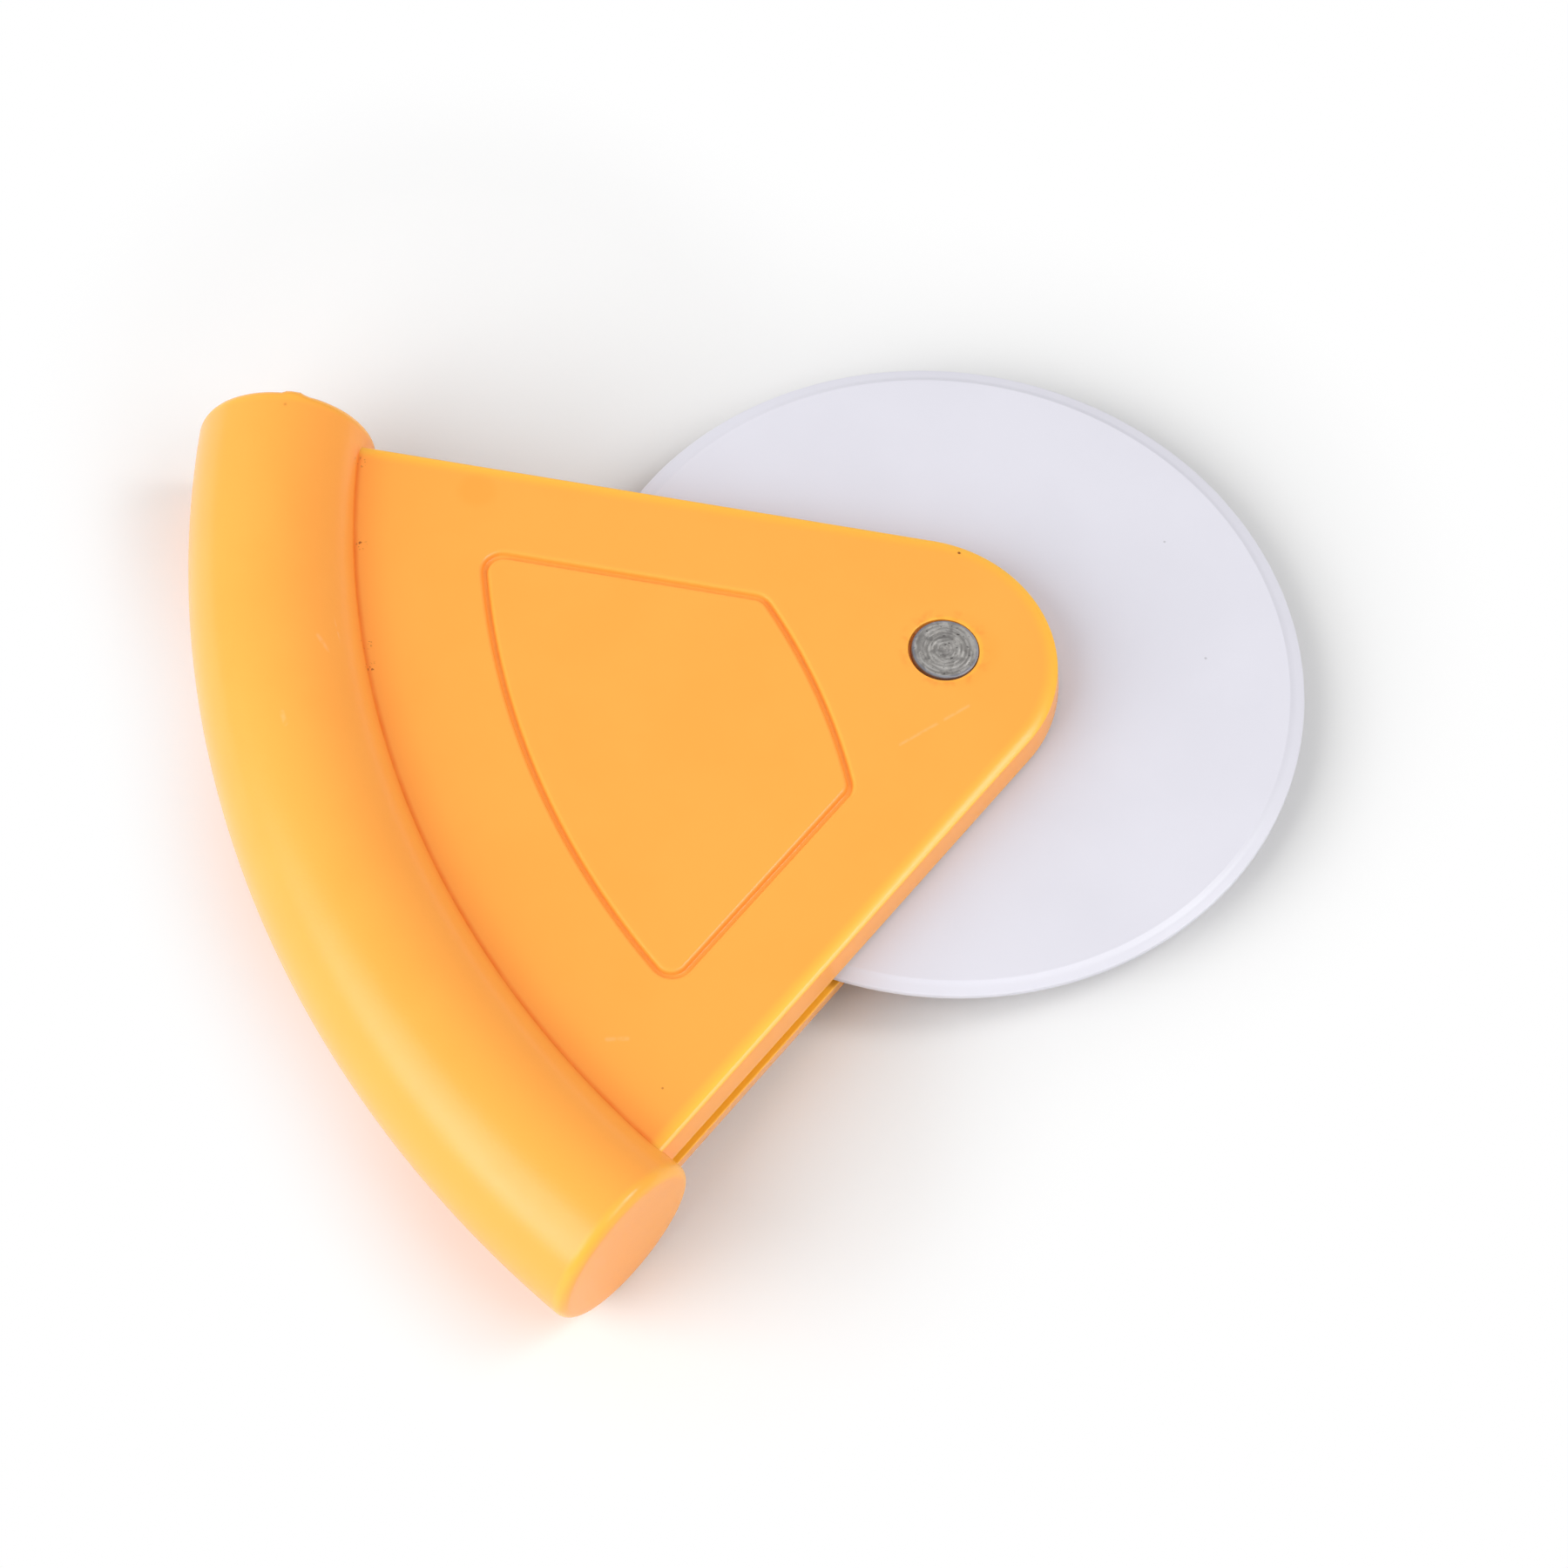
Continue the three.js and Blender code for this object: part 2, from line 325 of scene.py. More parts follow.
def cheek_edge(shell):
    """Rings of a cheek's side, from the slot's edge over the rounded shoulder to the face."""
    crown = shoulder()
    profile = soften([
        (FLAT_MARGIN + SLOT_EDGE, SLOT_HALF, 0),
        (0, SLOT_HALF, SLOT_EDGE),
        (*crown[0], SHOULDER_EDGE),
        *((inset, z, 0) for inset, z in crown[1:]),
        (FACE_INSET + FLAT_MARGIN, FACE_HEIGHT, 0),
    ])
    return [shell.ring(slice_outline(-inset, TONGUE_RADIUS - inset), z) for inset, z in profile]


def cheek_groove(shell):
    """Rings of the groove round the panel, from outside to inside."""
    profile = soften([
        (GROOVE_WIDTH / 2 + FLAT_MARGIN, FACE_HEIGHT, 0),
        (GROOVE_WIDTH / 2, FACE_HEIGHT, GROOVE_LIP),
        (GROOVE_FLOOR / 2, FACE_HEIGHT - GROOVE_DEPTH, GROOVE_BED),
        (-GROOVE_FLOOR / 2, FACE_HEIGHT - GROOVE_DEPTH, GROOVE_BED),
        (-GROOVE_WIDTH / 2, FACE_HEIGHT, GROOVE_LIP),
        (-GROOVE_WIDTH / 2 - FLAT_MARGIN, FACE_HEIGHT, 0),
    ])
    return [shell.ring(panel_outline(offset), z) for offset, z in profile]


def cheek_hole(shell):
    """Rings of the stepped hole, from the face to the slot; its mouth sits a little off the axle."""
    ledge = FACE_HEIGHT - HOLE_LEDGE
    mouth = soften([
        (HOLE_RADIUS + FLAT_MARGIN, FACE_HEIGHT, 0),
        (HOLE_RADIUS, FACE_HEIGHT, HOLE_LIP),
        (HOLE_RADIUS, ledge, 0),
    ])
    seat = SEAT_HEIGHT - SEAT_CLEARANCE
    head = HEAD_RADIUS + LEDGE_CLEARANCE
    shank = SHANK_RADIUS + SEAT_CLEARANCE
    steps = [(head, ledge), (head, seat), (shank, seat), (shank, SLOT_HALF)]
    rings = [shell.ring(circle(radius, RIVET_SEGMENTS, HOLE_SHIFT), z) for radius, z in mouth]
    return rings + [shell.ring(circle(radius, RIVET_SEGMENTS), z) for radius, z in steps]


def cheek_pad(shell):
    """Rings of the tongue's thick pad, which stands on the slot side inside the crust."""
    line = EDGE_FROM_AXLE - TONGUE_INSET
    back_radius = TONGUE_RADIUS - TONGUE_INSET
    front_radius = CREASE_RADIUS + TONGUE_INSET
    back = EDGE_NORMAL + meeting_angle(CRUST_X, back_radius, line)
    front = EDGE_NORMAL + meeting_angle(CRUST_X, front_radius, line)
    outline = arc(CRUST_X, 0, back_radius, back, 2 * math.pi - back, ARC_STEPS)
    outline += arc(CRUST_X, 0, front_radius, 2 * math.pi - front, front, ARC_STEPS)
    return [shell.ring(outline, z) for z in (SLOT_HALF, TONGUE_GAP_HALF)]


def make_cheek(name, turned):
    """Flat wedge with rounded shoulders, a panel outlined by a groove, a stepped hole and a tongue."""
    shell = Shell()
    edge = cheek_edge(shell)
    groove = cheek_groove(shell)
    hole = cheek_hole(shell)
    pad = cheek_pad(shell)
    for rings in (edge, groove, hole, pad):
        shell.skin(rings)
    shell.fill(groove[-1])
    shell.fill(edge[-1], groove[0], hole[0])
    shell.fill(pad[-1])
    shell.fill(edge[0], hole[-1], pad[0])
    return shell.piece(name, turned)


# Crust

def on_arc(radius, z, angle):
    """Place at a radius and an angle from the centre of the crust's arcs."""
    return CRUST_X - radius * math.cos(angle), radius * math.sin(angle), z


def wall_angle(radius, inset):
    """Angle of the pocket's end wall at a radius from the centre of the crust's arcs."""
    return math.pi - EDGE_NORMAL - meeting_angle(CRUST_X, radius, EDGE_FROM_AXLE + SEAM - inset)


def pocket_walls():
    """Pairs of inset and height along the pocket's end walls, from the upper lip to the lower one."""
    profile = [(0, 0), (0, SLOT_HALF), *shoulder()]
    upper = []
    for level in range(WALL_LEVELS):
        z = FACE_HEIGHT * math.cos(math.pi / 2 * level / WALL_LEVELS)
        for (low_inset, low), (high_inset, high) in zip(profile, profile[1:]):
            if low <= z <= high + TINY:
                share = (z - low) / (high - low)
                upper.append((low_inset + (high_inset - low_inset) * share, z + SEAM))
                break
    return [*upper, (0, 0), *((inset, -z) for inset, z in reversed(upper))]


def crust_sections():
    """Rows of radius, height and pocket's end angle: round the skin, across the mouth and at the back."""
    walls = pocket_walls()
    lip_turn = math.pi - math.asin(POCKET_HALF / GRIP_RADIUS)
    skin = []
    for step in range(SECTION_STEPS + 1):
        turn = lip_turn * (2 * step / SECTION_STEPS - 1)
        radius = GRIP_CENTRE + GRIP_RADIUS * math.cos(turn)
        skin.append((radius, GRIP_RADIUS * math.sin(turn), wall_angle(radius, FACE_INSET)))
    mouth = []
    for inset, z in walls[1:-1]:
        radius = GRIP_CENTRE - math.sqrt(GRIP_RADIUS ** 2 - z ** 2)
        mouth.append((radius, z, wall_angle(radius, inset)))
    back = [(POCKET_RADIUS, z, wall_angle(POCKET_RADIUS, inset)) for inset, z in walls]
    return skin, mouth, back


def crust_end(shell, section, side):
    """Rings of one solid end of the crust, from the middle of its end face to its pocket."""
    end = end_angle()
    fillet_angle = GRIP_END_FILLET / GRIP_CENTRE
    start = end - fillet_angle

    def drawn_in(share, angle):
        spread = [(GRIP_CENTRE + (radius - GRIP_CENTRE) * share, z * share) for radius, z, _ in section]
        return shell.loop(on_arc(radius, z, side * angle) for radius, z in spread)

    rings = [shell.loop([on_arc(GRIP_CENTRE, 0, side * end)])]
    flat = 1 - GRIP_END_FILLET / GRIP_RADIUS
    for step in range(1, END_FACE_RINGS):
        rings.append(drawn_in(flat * step / END_FACE_RINGS, end))
    for step in range(FILLET_STEPS + 1):
        turn = (1 - step / FILLET_STEPS) * math.pi / 2
        share = 1 - GRIP_END_FILLET * (1 - math.cos(turn)) / GRIP_RADIUS
        rings.append(drawn_in(share, end - fillet_angle * (1 - math.sin(turn))))
    for step in range(1, END_RINGS + 1):
        share = step / END_RINGS
        spread = [(radius, z, start + (limit - start) * share) for radius, z, limit in section]
        rings.append(shell.loop(on_arc(radius, z, side * angle) for radius, z, angle in spread))
    return rings


def raise_burr(shell):
    """Raises a small gate burr on the rim at the +Y end of the crust."""
    end = end_angle()
    burr = Vector(on_arc(BURR_REACH, GRIP_RADIUS, end))
    along = Vector((math.sin(end), math.cos(end), 0))
    for point in shell.points:
        share = min(1, max(0, (BURR_HALF + BURR_EDGE - (point - burr).length) / BURR_EDGE))
        point += along * BURR_HEIGHT * share


def make_crust():
    """Round bar bent along the crust's arc, with flat ends and a pocket that fits both tongues."""
    shell = Shell()
    skin, mouth, back = crust_sections()
    ends = []
    for side in (-1, 1):
        rings = crust_end(shell, skin + mouth, side)
        shell.skin(rings)
        wall_skin = rings[-1][:len(skin)]
        wall_front = [wall_skin[-1], *rings[-1][len(skin):], wall_skin[0]]
        wall_back = shell.loop(on_arc(radius, z, side * limit) for radius, z, limit in back)
        for i in range(len(back) - 1):
            shell.faces.append([wall_front[i], wall_front[i + 1], wall_back[i + 1], wall_back[i]])
        ends.append(wall_skin + wall_back)
    middle = []
    for step in range(1, CRUST_RINGS):
        share = 2 * step / CRUST_RINGS - 1
        middle.append(shell.loop(on_arc(radius, z, share * limit) for radius, z, limit in skin + back))
    shell.skin([ends[0], *middle, ends[1]])
    raise_burr(shell)
    return shell.piece("crust")


# Wheel and rivet

def make_wheel():
    """Thin disc with a hollow bevel on both faces and softened edges."""
    upper = [
        (WHEEL_RADIUS, RIM_HALF, RIM_FILLET),
        (WHEEL_RADIUS - KNEE_FROM_RIM, WHEEL_HALF - KNEE_DROP, KNEE_BLEND),
        (WHEEL_RADIUS - BEVEL_WIDTH, WHEEL_HALF, BEVEL_EDGE),
        (BORE_RADIUS, WHEEL_HALF, BORE_FILLET),
    ]
    lower = [(radius, -z, fillet) for radius, z, fillet in reversed(upper)]
    shell = Shell()
    revolve(shell, soften(upper + lower), WHEEL_SEGMENTS, closed=True)
    return shell.piece("wheel_disc")


def turned_head():
    """Profile of a rivet head from its middle to its rim: a nib, turned rings and a plain border."""
    nib_top = FACE_HEIGHT - TURNED_DEPTH + NIB_HEIGHT
    profile = [(0, nib_top), (NIB_FLAT, nib_top)]
    steps = int((TURNED_TO - TURNED_FROM) / TURNED_PITCH * FILLET_STEPS)
    for step in range(steps + 1):
        radius = TURNED_FROM + (TURNED_TO - TURNED_FROM) * step / steps
        wave = math.cos(2 * math.pi * (TURNED_TO - radius) / TURNED_PITCH)
        profile.append((radius, FACE_HEIGHT - TURNED_DEPTH * (1 - wave) / 2))
    rim = soften([
        (TURNED_TO, FACE_HEIGHT, 0),
        (HEAD_RADIUS, FACE_HEIGHT, HEAD_FILLET),
        (HEAD_RADIUS, SEAT_HEIGHT, 0),
    ])
    return profile + rim[1:]


def make_sleeve():
    """Headed sleeve of the rivet, put in from the front."""
    bore = PIN_RADIUS + PIN_CLEARANCE
    roof = PIN_END + SEAT_CLEARANCE
    outside = [(SHANK_RADIUS, SEAT_HEIGHT), (SHANK_RADIUS, TUBE_END)]
    inside = [(bore, TUBE_END), (bore, roof), (0, roof)]
    shell = Shell()
    revolve(shell, turned_head() + outside + inside, RIVET_SEGMENTS)
    return shell.piece("rivet_front")


def make_pin():
    """Headed pin of the rivet, driven in from the rear."""
    shank = [(PIN_RADIUS, SEAT_HEIGHT), (PIN_RADIUS, -PIN_END), (0, -PIN_END)]
    shell = Shell()
    revolve(shell, turned_head() + shank, RIVET_SEGMENTS)
    return shell.piece("rivet_rear", turned=True)


# Finishes

# Share of a speck's radius and of a scratch's half width that has full strength
SPECK_CORE = 0.5
SCRATCH_CORE = 0.2


def colour(red, green, blue):
    """Linear colour, with alpha, of a colour written in screen values from 0 to 255."""
    def linear(value):
        share = value / 255
        return share / 12.92 if share <= 0.04045 else ((share + 0.055) / 1.055) ** 2.4
    return (linear(red), linear(green), linear(blue), 1)


class Finish:
    """Node material under construction; places and sizes are in mm from the axle."""

    def __init__(self, name):
        self.material = bpy.data.materials.new(name)
        self.material.use_nodes = True
        self.nodes = self.material.node_tree.nodes
        self.links = self.material.node_tree.links
        self.shader = self.nodes["Principled BSDF"]
        frame_place = self.nodes.new("ShaderNodeTexCoord").outputs["Object"]
        from_axle = self.vector("SUBTRACT", frame_place, AXLE)
        self.place = self.vector("SCALE", from_axle, scale=1 / MM)

    def plug(self, socket, value):
        if isinstance(value, bpy.types.NodeSocket):
            self.links.new(value, socket)
        else:
            socket.default_value = value

    def set(self, **sockets):
        for name, value in sockets.items():
            self.plug(self.shader.inputs[name.replace("_", " ").title()], value)

    def math(self, operation, *values):
        node = self.nodes.new("ShaderNodeMath")
        node.operation = operation
        for socket, value in zip(node.inputs, values):
            self.plug(socket, value)
        return node.outputs[0]

    def times(self, first, *others):
        """Product of masks and strengths."""
        for other in others:
            first = self.math("MULTIPLY", first, other)
        return first

    def vector(self, operation, one, other=(0, 0, 0), scale=None, value=False):
        node = self.nodes.new("ShaderNodeVectorMath")
        node.operation = operation
        self.plug(node.inputs[0], one)
        self.plug(node.inputs[1], other)
        if scale is not None:
            self.plug(node.inputs["Scale"], scale)
        return node.outputs["Value" if value else "Vector"]

    def length(self, vector):
        return self.vector("LENGTH", vector, value=True)

    def along(self, vector, axis):
        return self.vector("DOT_PRODUCT", vector, axis, value=True)

    def plan(self, centre_x=0):
        """Place seen from above, from a point on the X axis."""
        from_centre = self.vector("SUBTRACT", self.place, (centre_x, 0, 0))
        return self.vector("MULTIPLY", from_centre, (1, 1, 0))

    def noise(self, size, detail=3, place=None):
        """Soft noise from 0 to 1 with features of a size in mm."""
        node = self.nodes.new("ShaderNodeTexNoise")
        self.plug(node.inputs["Vector"], self.place if place is None else place)
        node.inputs["Scale"].default_value = 1 / size
        node.inputs["Detail"].default_value = detail
        return node.outputs["Fac"]

    def band(self, value, start, end):
        """Smooth step from 0 at start to 1 at end."""
        node = self.nodes.new("ShaderNodeMapRange")
        node.interpolation_type = "SMOOTHSTEP"
        self.plug(node.inputs["Value"], value)
        node.inputs["From Min"].default_value = start
        node.inputs["From Max"].default_value = end
        return node.outputs["Result"]

    def span(self, value, low, high):
        """Value from 0 to 1 spread between low and high."""
        return self.math("ADD", self.math("MULTIPLY", value, high - low), low)

    def specks(self, spacing, radius):
        """Mask of small round specks, one in each cell of a spacing."""
        node = self.nodes.new("ShaderNodeTexVoronoi")
        self.plug(node.inputs["Vector"], self.place)
        node.inputs["Scale"].default_value = 1 / spacing
        return self.band(node.outputs["Distance"], radius / spacing, radius / spacing * SPECK_CORE)

    def scratch(self, start, end, width):
        """Mask of a straight mark between two points."""
        mark = Vector(end) - Vector(start)
        away = self.vector("SUBTRACT", self.place, start)
        share = self.along(away, mark / mark.length_squared)
        share = self.math("MINIMUM", self.math("MAXIMUM", share, 0), 1)
        foot = self.vector("SCALE", mark, scale=share)
        from_mark = self.length(self.vector("SUBTRACT", away, foot))
        return self.band(from_mark, width, width * SCRATCH_CORE)

    def spot(self, centre, inner, outer):
        """Mask of a round patch that fades from an inner to an outer radius."""
        return self.band(self.vector("DISTANCE", self.place, centre, value=True), outer, inner)

    def mix(self, share, one, other):
        node = self.nodes.new("ShaderNodeMix")
        node.data_type = "RGBA"
        self.plug(node.inputs["Factor"], share)
        self.plug(node.inputs["A"], one)
        self.plug(node.inputs["B"], other)
        return node.outputs["Result"]

    def tint(self, shade, tone, *masks):
        """Shade that goes over to a tone by the product of the masks and strengths."""
        return self.mix(self.times(*masks), shade, tone)

    def bump(self, height, depth):
        """Fine relief of a depth in mm."""
        node = self.nodes.new("ShaderNodeBump")
        self.plug(node.inputs["Height"], height)
        node.inputs["Distance"].default_value = depth * MM
        self.links.new(node.outputs["Normal"], self.shader.inputs["Normal"])


# Orange plastic: a mask's pair says where it starts and is full, a roughness its lowest and highest
ORANGE = colour(255, 168, 71)
ORANGE_DEEP = colour(255, 166, 69)
CLOUD_SIZE = 9
CLOUD_LIMITS = (0.35, 0.7)
SHEEN = (1, 0.74, 0.92, 1)
ROUGHNESS = (0.22, 0.28)
ROUGH_SIZE = 1.4
GRAIN_SIZE = 0.4
GRAIN_LEVEL = (1.5, 4.5)
CRUST_GRAIN = 0.012
CHEEK_GRAIN = 0.002

# Painted shade along the crust-cheek crease, partly dirt, with a faint painted bounce shade beside it
CREASE_SHADE_TONE = colour(246, 116, 24)
CREASE_BESIDE = (0.45, 0.03)
CREASE_ABOVE = (0.35, 0.1)
CREASE_PATCH = 2.6
CREASE_LOWEST = 0.3
CREASE_HIGHEST = 0.95
CREASE_BOUNCE_SHADE = colour(255, 148, 60)
BOUNCE_SHADE_BESIDE = (3.2, 0)
BOUNCE_SHADE_ABOVE = (1.2, 0.3)
BOUNCE_SHADE_STRENGTH = 0.45

# Painted light: yellower where light comes through thin edges, lip and end rims, lighter in the shaded
# slot
PAINTED_EDGE_LIGHT = colour(255, 198, 62)
EDGE_INSET = (1.9, 0.5)
EDGE_LEVEL = (SHOULDER_FOOT - 0.1, SHOULDER_FOOT)
EDGE_STRENGTH = 0.7
LIP_REACH = (HOLE_RADIUS + 0.35, HOLE_RADIUS + 0.1)
LIP_LEVEL = (FACE_HEIGHT - 0.2, FACE_HEIGHT - 0.1)
LIP_STRENGTH = 0.35
END_DEPTH = (1.4, 0.5)
END_RIM = (GRIP_RADIUS - GRIP_END_FILLET, GRIP_RADIUS - 0.4)
END_STRENGTH = 0.35
PAINTED_SLOT_LIGHT = colour(255, 184, 50)
SLOT_LEVEL = (SLOT_HALF + 0.3, SLOT_HALF + 0.05)
SLOT_INSET = (8, 4)
SLOT_STRENGTH = 0.9

# Dirt round the hole
GRIME = colour(124, 54, 14)
DIRT_REACH = (HOLE_RADIUS + 1.3, HOLE_RADIUS)
DIRT_PATCH = 0.9
DIRT_LIMITS = (0.45, 0.7)
DIRT_STRENGTH = 0.26

# Grains caught along the front crease: middles of their patches, and where these are full and end
CAUGHT = [(-41.4, 35.1), (-44.2, 27.0), (-47.1, 17.3), (-47.5, 14.9)]
CAUGHT_INNER = 0.1
CAUGHT_OUTER = 0.8
CAUGHT_SIZE = 0.25
CAUGHT_LIMITS = (0.58, 0.68)
CAUGHT_STRENGTH = 0.8

# Small marks on the front: straight scuffs as start, end, half width and strength
SCUFF = colour(255, 200, 150)
SCUFF_PATCH = 0.7
SCUFF_LIMITS = (0.3, 0.55)
SCUFFS = {
    "crust_orange": [
        ((-51.4, 17.6, 7.3), (-50.9, 15.9, 7.3), 0.3, 0.22),
        ((-56.8, 11.2, 7.7), (-56.9, 10.0, 7.7), 0.3, 0.2),
        ((-49.2, 21.5, 6.5), (-49.6, 16.0, 6.5), 0.12, 0.25),
    ],
    "cheek_orange": [
        ((-7.4, -7.6, FACE_HEIGHT), (-0.3, -6.0, FACE_HEIGHT), 0.2, 0.22),
        ((-41.2, -25.7, FACE_HEIGHT), (-39.6, -26.2, FACE_HEIGHT), 0.3, 0.2),
    ],
}

# Round spots as centre, inner and outer radius, tone and strength
STAIN = colour(250, 150, 46)
SPOTS = {
    "crust_orange": [
        ((-46.3, 40.7, 7.7), 0.1, 0.3, GRIME, 0.5),
    ],
    "cheek_orange": [
        ((-32.7, 28.9, FACE_HEIGHT), 1.0, 2.2, STAIN, 0.22),
        ((5.0, 8.8, FACE_HEIGHT), 0.1, 0.22, GRIME, 0.9),
        ((-38.5, -31.5, FACE_HEIGHT), 0.05, 0.15, GRIME, 0.5),
        ((0.8, -0.5, FACE_HEIGHT), 2.6, 4.4, STAIN, 0.18),
    ],
}


def edge_inset(finish):
    """Distance in mm inside the slice's edge."""
    from_tip = finish.plan(TIP_X)
    across = finish.math("ABSOLUTE", finish.along(from_tip, (0, 1, 0)))
    angle = finish.math("ARCTAN2", across, finish.along(from_tip, (1, 0, 0)))
    past = finish.math("MAXIMUM", finish.math("SUBTRACT", angle, EDGE_NORMAL), 0)
    outwards = finish.times(finish.length(from_tip), finish.math("COSINE", past))
    return finish.math("SUBTRACT", TIP_RADIUS, outwards)


def painted_crease_shade(finish, shade, beside, height, inset):
    """Painted shade where the crust meets the cheeks: an uneven line, partly dirt, in a faint band."""
    beside = finish.math("ABSOLUTE", beside)
    above = finish.math("ABSOLUTE", finish.math("SUBTRACT", height, FACE_HEIGHT))
    inside = finish.band(inset, WALL_INSET, FACE_INSET)
    bounce_shade = [finish.band(beside, *BOUNCE_SHADE_BESIDE), finish.band(above, *BOUNCE_SHADE_ABOVE)]
    # painted shade: faint deeper orange band of bounce light on both sides of the crease
    shade = finish.tint(shade, CREASE_BOUNCE_SHADE, *bounce_shade, inside, BOUNCE_SHADE_STRENGTH)
    # painted shade: darker uneven line in the crease itself, partly dirt
    crease = [finish.band(beside, *CREASE_BESIDE), finish.band(above, *CREASE_ABOVE)]
    uneven = finish.span(finish.noise(CREASE_PATCH), CREASE_LOWEST, CREASE_HIGHEST)
    return finish.tint(shade, CREASE_SHADE_TONE, *crease, uneven, inside)


def dirt_and_painted_edge_light(finish, shade, height, inset):
    """Dirt round a cheek's hole, and painted light: brighter yellow at its thin edges and a lighter slot.
    """
    from_axle = finish.length(finish.plan())
    dirt = [finish.band(from_axle, *DIRT_REACH), finish.band(finish.noise(DIRT_PATCH), *DIRT_LIMITS)]
    shade = finish.tint(shade, GRIME, *dirt, DIRT_STRENGTH)
    # painted light: yellower lip of the hole, lighter slot and yellower shoulders
    lip = [finish.band(from_axle, *LIP_REACH), finish.band(height, *LIP_LEVEL)]
    shade = finish.tint(shade, PAINTED_EDGE_LIGHT, *lip, LIP_STRENGTH)
    slot = [finish.band(inset, *SLOT_INSET), finish.band(height, *SLOT_LEVEL)]
    shade = finish.tint(shade, PAINTED_SLOT_LIGHT, *slot, SLOT_STRENGTH)
    edge = [finish.band(inset, *EDGE_INSET), finish.band(height, *EDGE_LEVEL)]
    return finish.tint(shade, PAINTED_EDGE_LIGHT, *edge, EDGE_STRENGTH)


def painted_end_rim_light(finish, shade, from_centre, beside, height):
    """Painted light: brighter yellow round the crust's ends, standing for light through their rounded
    rims.
    """
    end = end_angle()
    inwards = (math.sin(end), -math.cos(end), 0)
    from_end = finish.along(finish.vector("ABSOLUTE", from_centre), inwards)
    across = finish.math("SUBTRACT", beside, MOUTH_DEPTH)
    squares = [finish.math("POWER", distance, 2) for distance in (across, height)]
    from_bar = finish.math("SQRT", finish.math("ADD", *squares))
    rim = [finish.band(from_end, *END_DEPTH), finish.band(from_bar, *END_RIM)]
    return finish.tint(shade, PAINTED_EDGE_LIGHT, *rim, END_STRENGTH)


def small_marks(finish, shade, name):
    """Grains caught along the front crease, scuffs and spots."""
    caught = 0
    for x, y in CAUGHT:
        patch = finish.spot((x, y, FACE_HEIGHT), CAUGHT_INNER, CAUGHT_OUTER)
        caught = finish.math("MAXIMUM", caught, patch)
    grains = finish.band(finish.noise(CAUGHT_SIZE, detail=1), *CAUGHT_LIMITS)
    shade = finish.tint(shade, GRIME, caught, grains, CAUGHT_STRENGTH)
    broken = finish.band(finish.noise(SCUFF_PATCH), *SCUFF_LIMITS)
    for start, end, width, strength in SCUFFS[name]:
        shade = finish.tint(shade, SCUFF, finish.scratch(start, end, width), broken, strength)
    for centre, inner, outer, tone, strength in SPOTS[name]:
        shade = finish.tint(shade, tone, finish.spot(centre, inner, outer), strength)
    return shade


def orange_plastic(name, grain):
    """Satin orange plastic: faint cloud, painted crease shade, painted edge light, a few marks and grain.
    """
    finish = Finish(name)
    shade = finish.mix(finish.band(finish.noise(CLOUD_SIZE), *CLOUD_LIMITS), ORANGE, ORANGE_DEEP)
    from_centre = finish.plan(CRUST_X)
    beside = finish.math("SUBTRACT", finish.length(from_centre), CREASE_RADIUS)
    height = finish.math("ABSOLUTE", finish.along(finish.place, (0, 0, 1)))
    inset = edge_inset(finish)
    # painted shade along the crease between crust and cheeks
    shade = painted_crease_shade(finish, shade, beside, height, inset)
    # painted light: yellower thin edges and slot on the cheeks, yellower end rims on the crust
    if name == "cheek_orange":
        shade = dirt_and_painted_edge_light(finish, shade, height, inset)
    else:
        shade = painted_end_rim_light(finish, shade, from_centre, beside, height)
    shade = small_marks(finish, shade, name)
    roughness = finish.span(finish.noise(ROUGH_SIZE), *ROUGHNESS)
    finish.set(base_color=shade, roughness=roughness, specular_tint=SHEEN)
    finish.bump(finish.times(finish.noise(GRAIN_SIZE, detail=2), finish.band(height, *GRAIN_LEVEL)), grain)
    return finish.material


# White plastic
WHITE = colour(216, 215, 224)
WHITE_DEEP = colour(213, 212, 221)
WHITE_CLOUD_SIZE = 14
WHITE_CLOUD_LIMITS = (0.3, 0.7)
WHITE_ROUGHNESS = (0.3, 0.36)
WHITE_ROUGH_SIZE = 2.2
WHEEL_GRAIN = 0.004
DUST = colour(120, 118, 125)
DUST_SPACING = 7
DUST_RADIUS = 0.16
DUST_STRENGTH = 0.4


def white_plastic():
    """Faintly lavender white plastic with specks of dust and a satin sheen."""
    finish = Finish("wheel_white")
    cloud = finish.band(finish.noise(WHITE_CLOUD_SIZE), *WHITE_CLOUD_LIMITS)
    shade = finish.mix(cloud, WHITE, WHITE_DEEP)
    shade = finish.tint(shade, DUST, finish.specks(DUST_SPACING, DUST_RADIUS), DUST_STRENGTH)
    roughness = finish.span(finish.noise(WHITE_ROUGH_SIZE), *WHITE_ROUGHNESS)
    finish.set(base_color=shade, roughness=roughness)
    finish.bump(finish.noise(GRAIN_SIZE, detail=2), WHEEL_GRAIN)
    return finish.material


# Turned steel
STEEL = colour(187, 183, 179)
STEEL_BRIGHT = colour(231, 228, 224)
# painted sheen: bluish tone of the rounded rim of the head
STEEL_RIM_SHEEN = colour(164, 168, 183)
STEEL_ROUGHNESS = (0.34, 0.5)
TOOL_REACH = 1.4
TOOL_PITCH = 0.2
TOOL_DEPTH = 0.012
TOOL_LIMITS = (0.35, 0.65)
RIM_BAND = (HEAD_RADIUS - 0.3, HEAD_RADIUS - 0.15)
RIM_SHEEN_STRENGTH = 0.7
RIM_ROUGHER = 0.25

# Pale patches, dull patches and pits as size, noise detail, limits, strength and tone
STEEL_PATCHES = [
    (0.5, 2, (0.52, 0.68), 0.5, colour(243, 239, 233)),
    (0.9, 3, (0.45, 0.62), 0.55, colour(145, 141, 139)),
    (0.3, 1, (0.64, 0.74), 0.8, colour(88, 84, 84)),
]


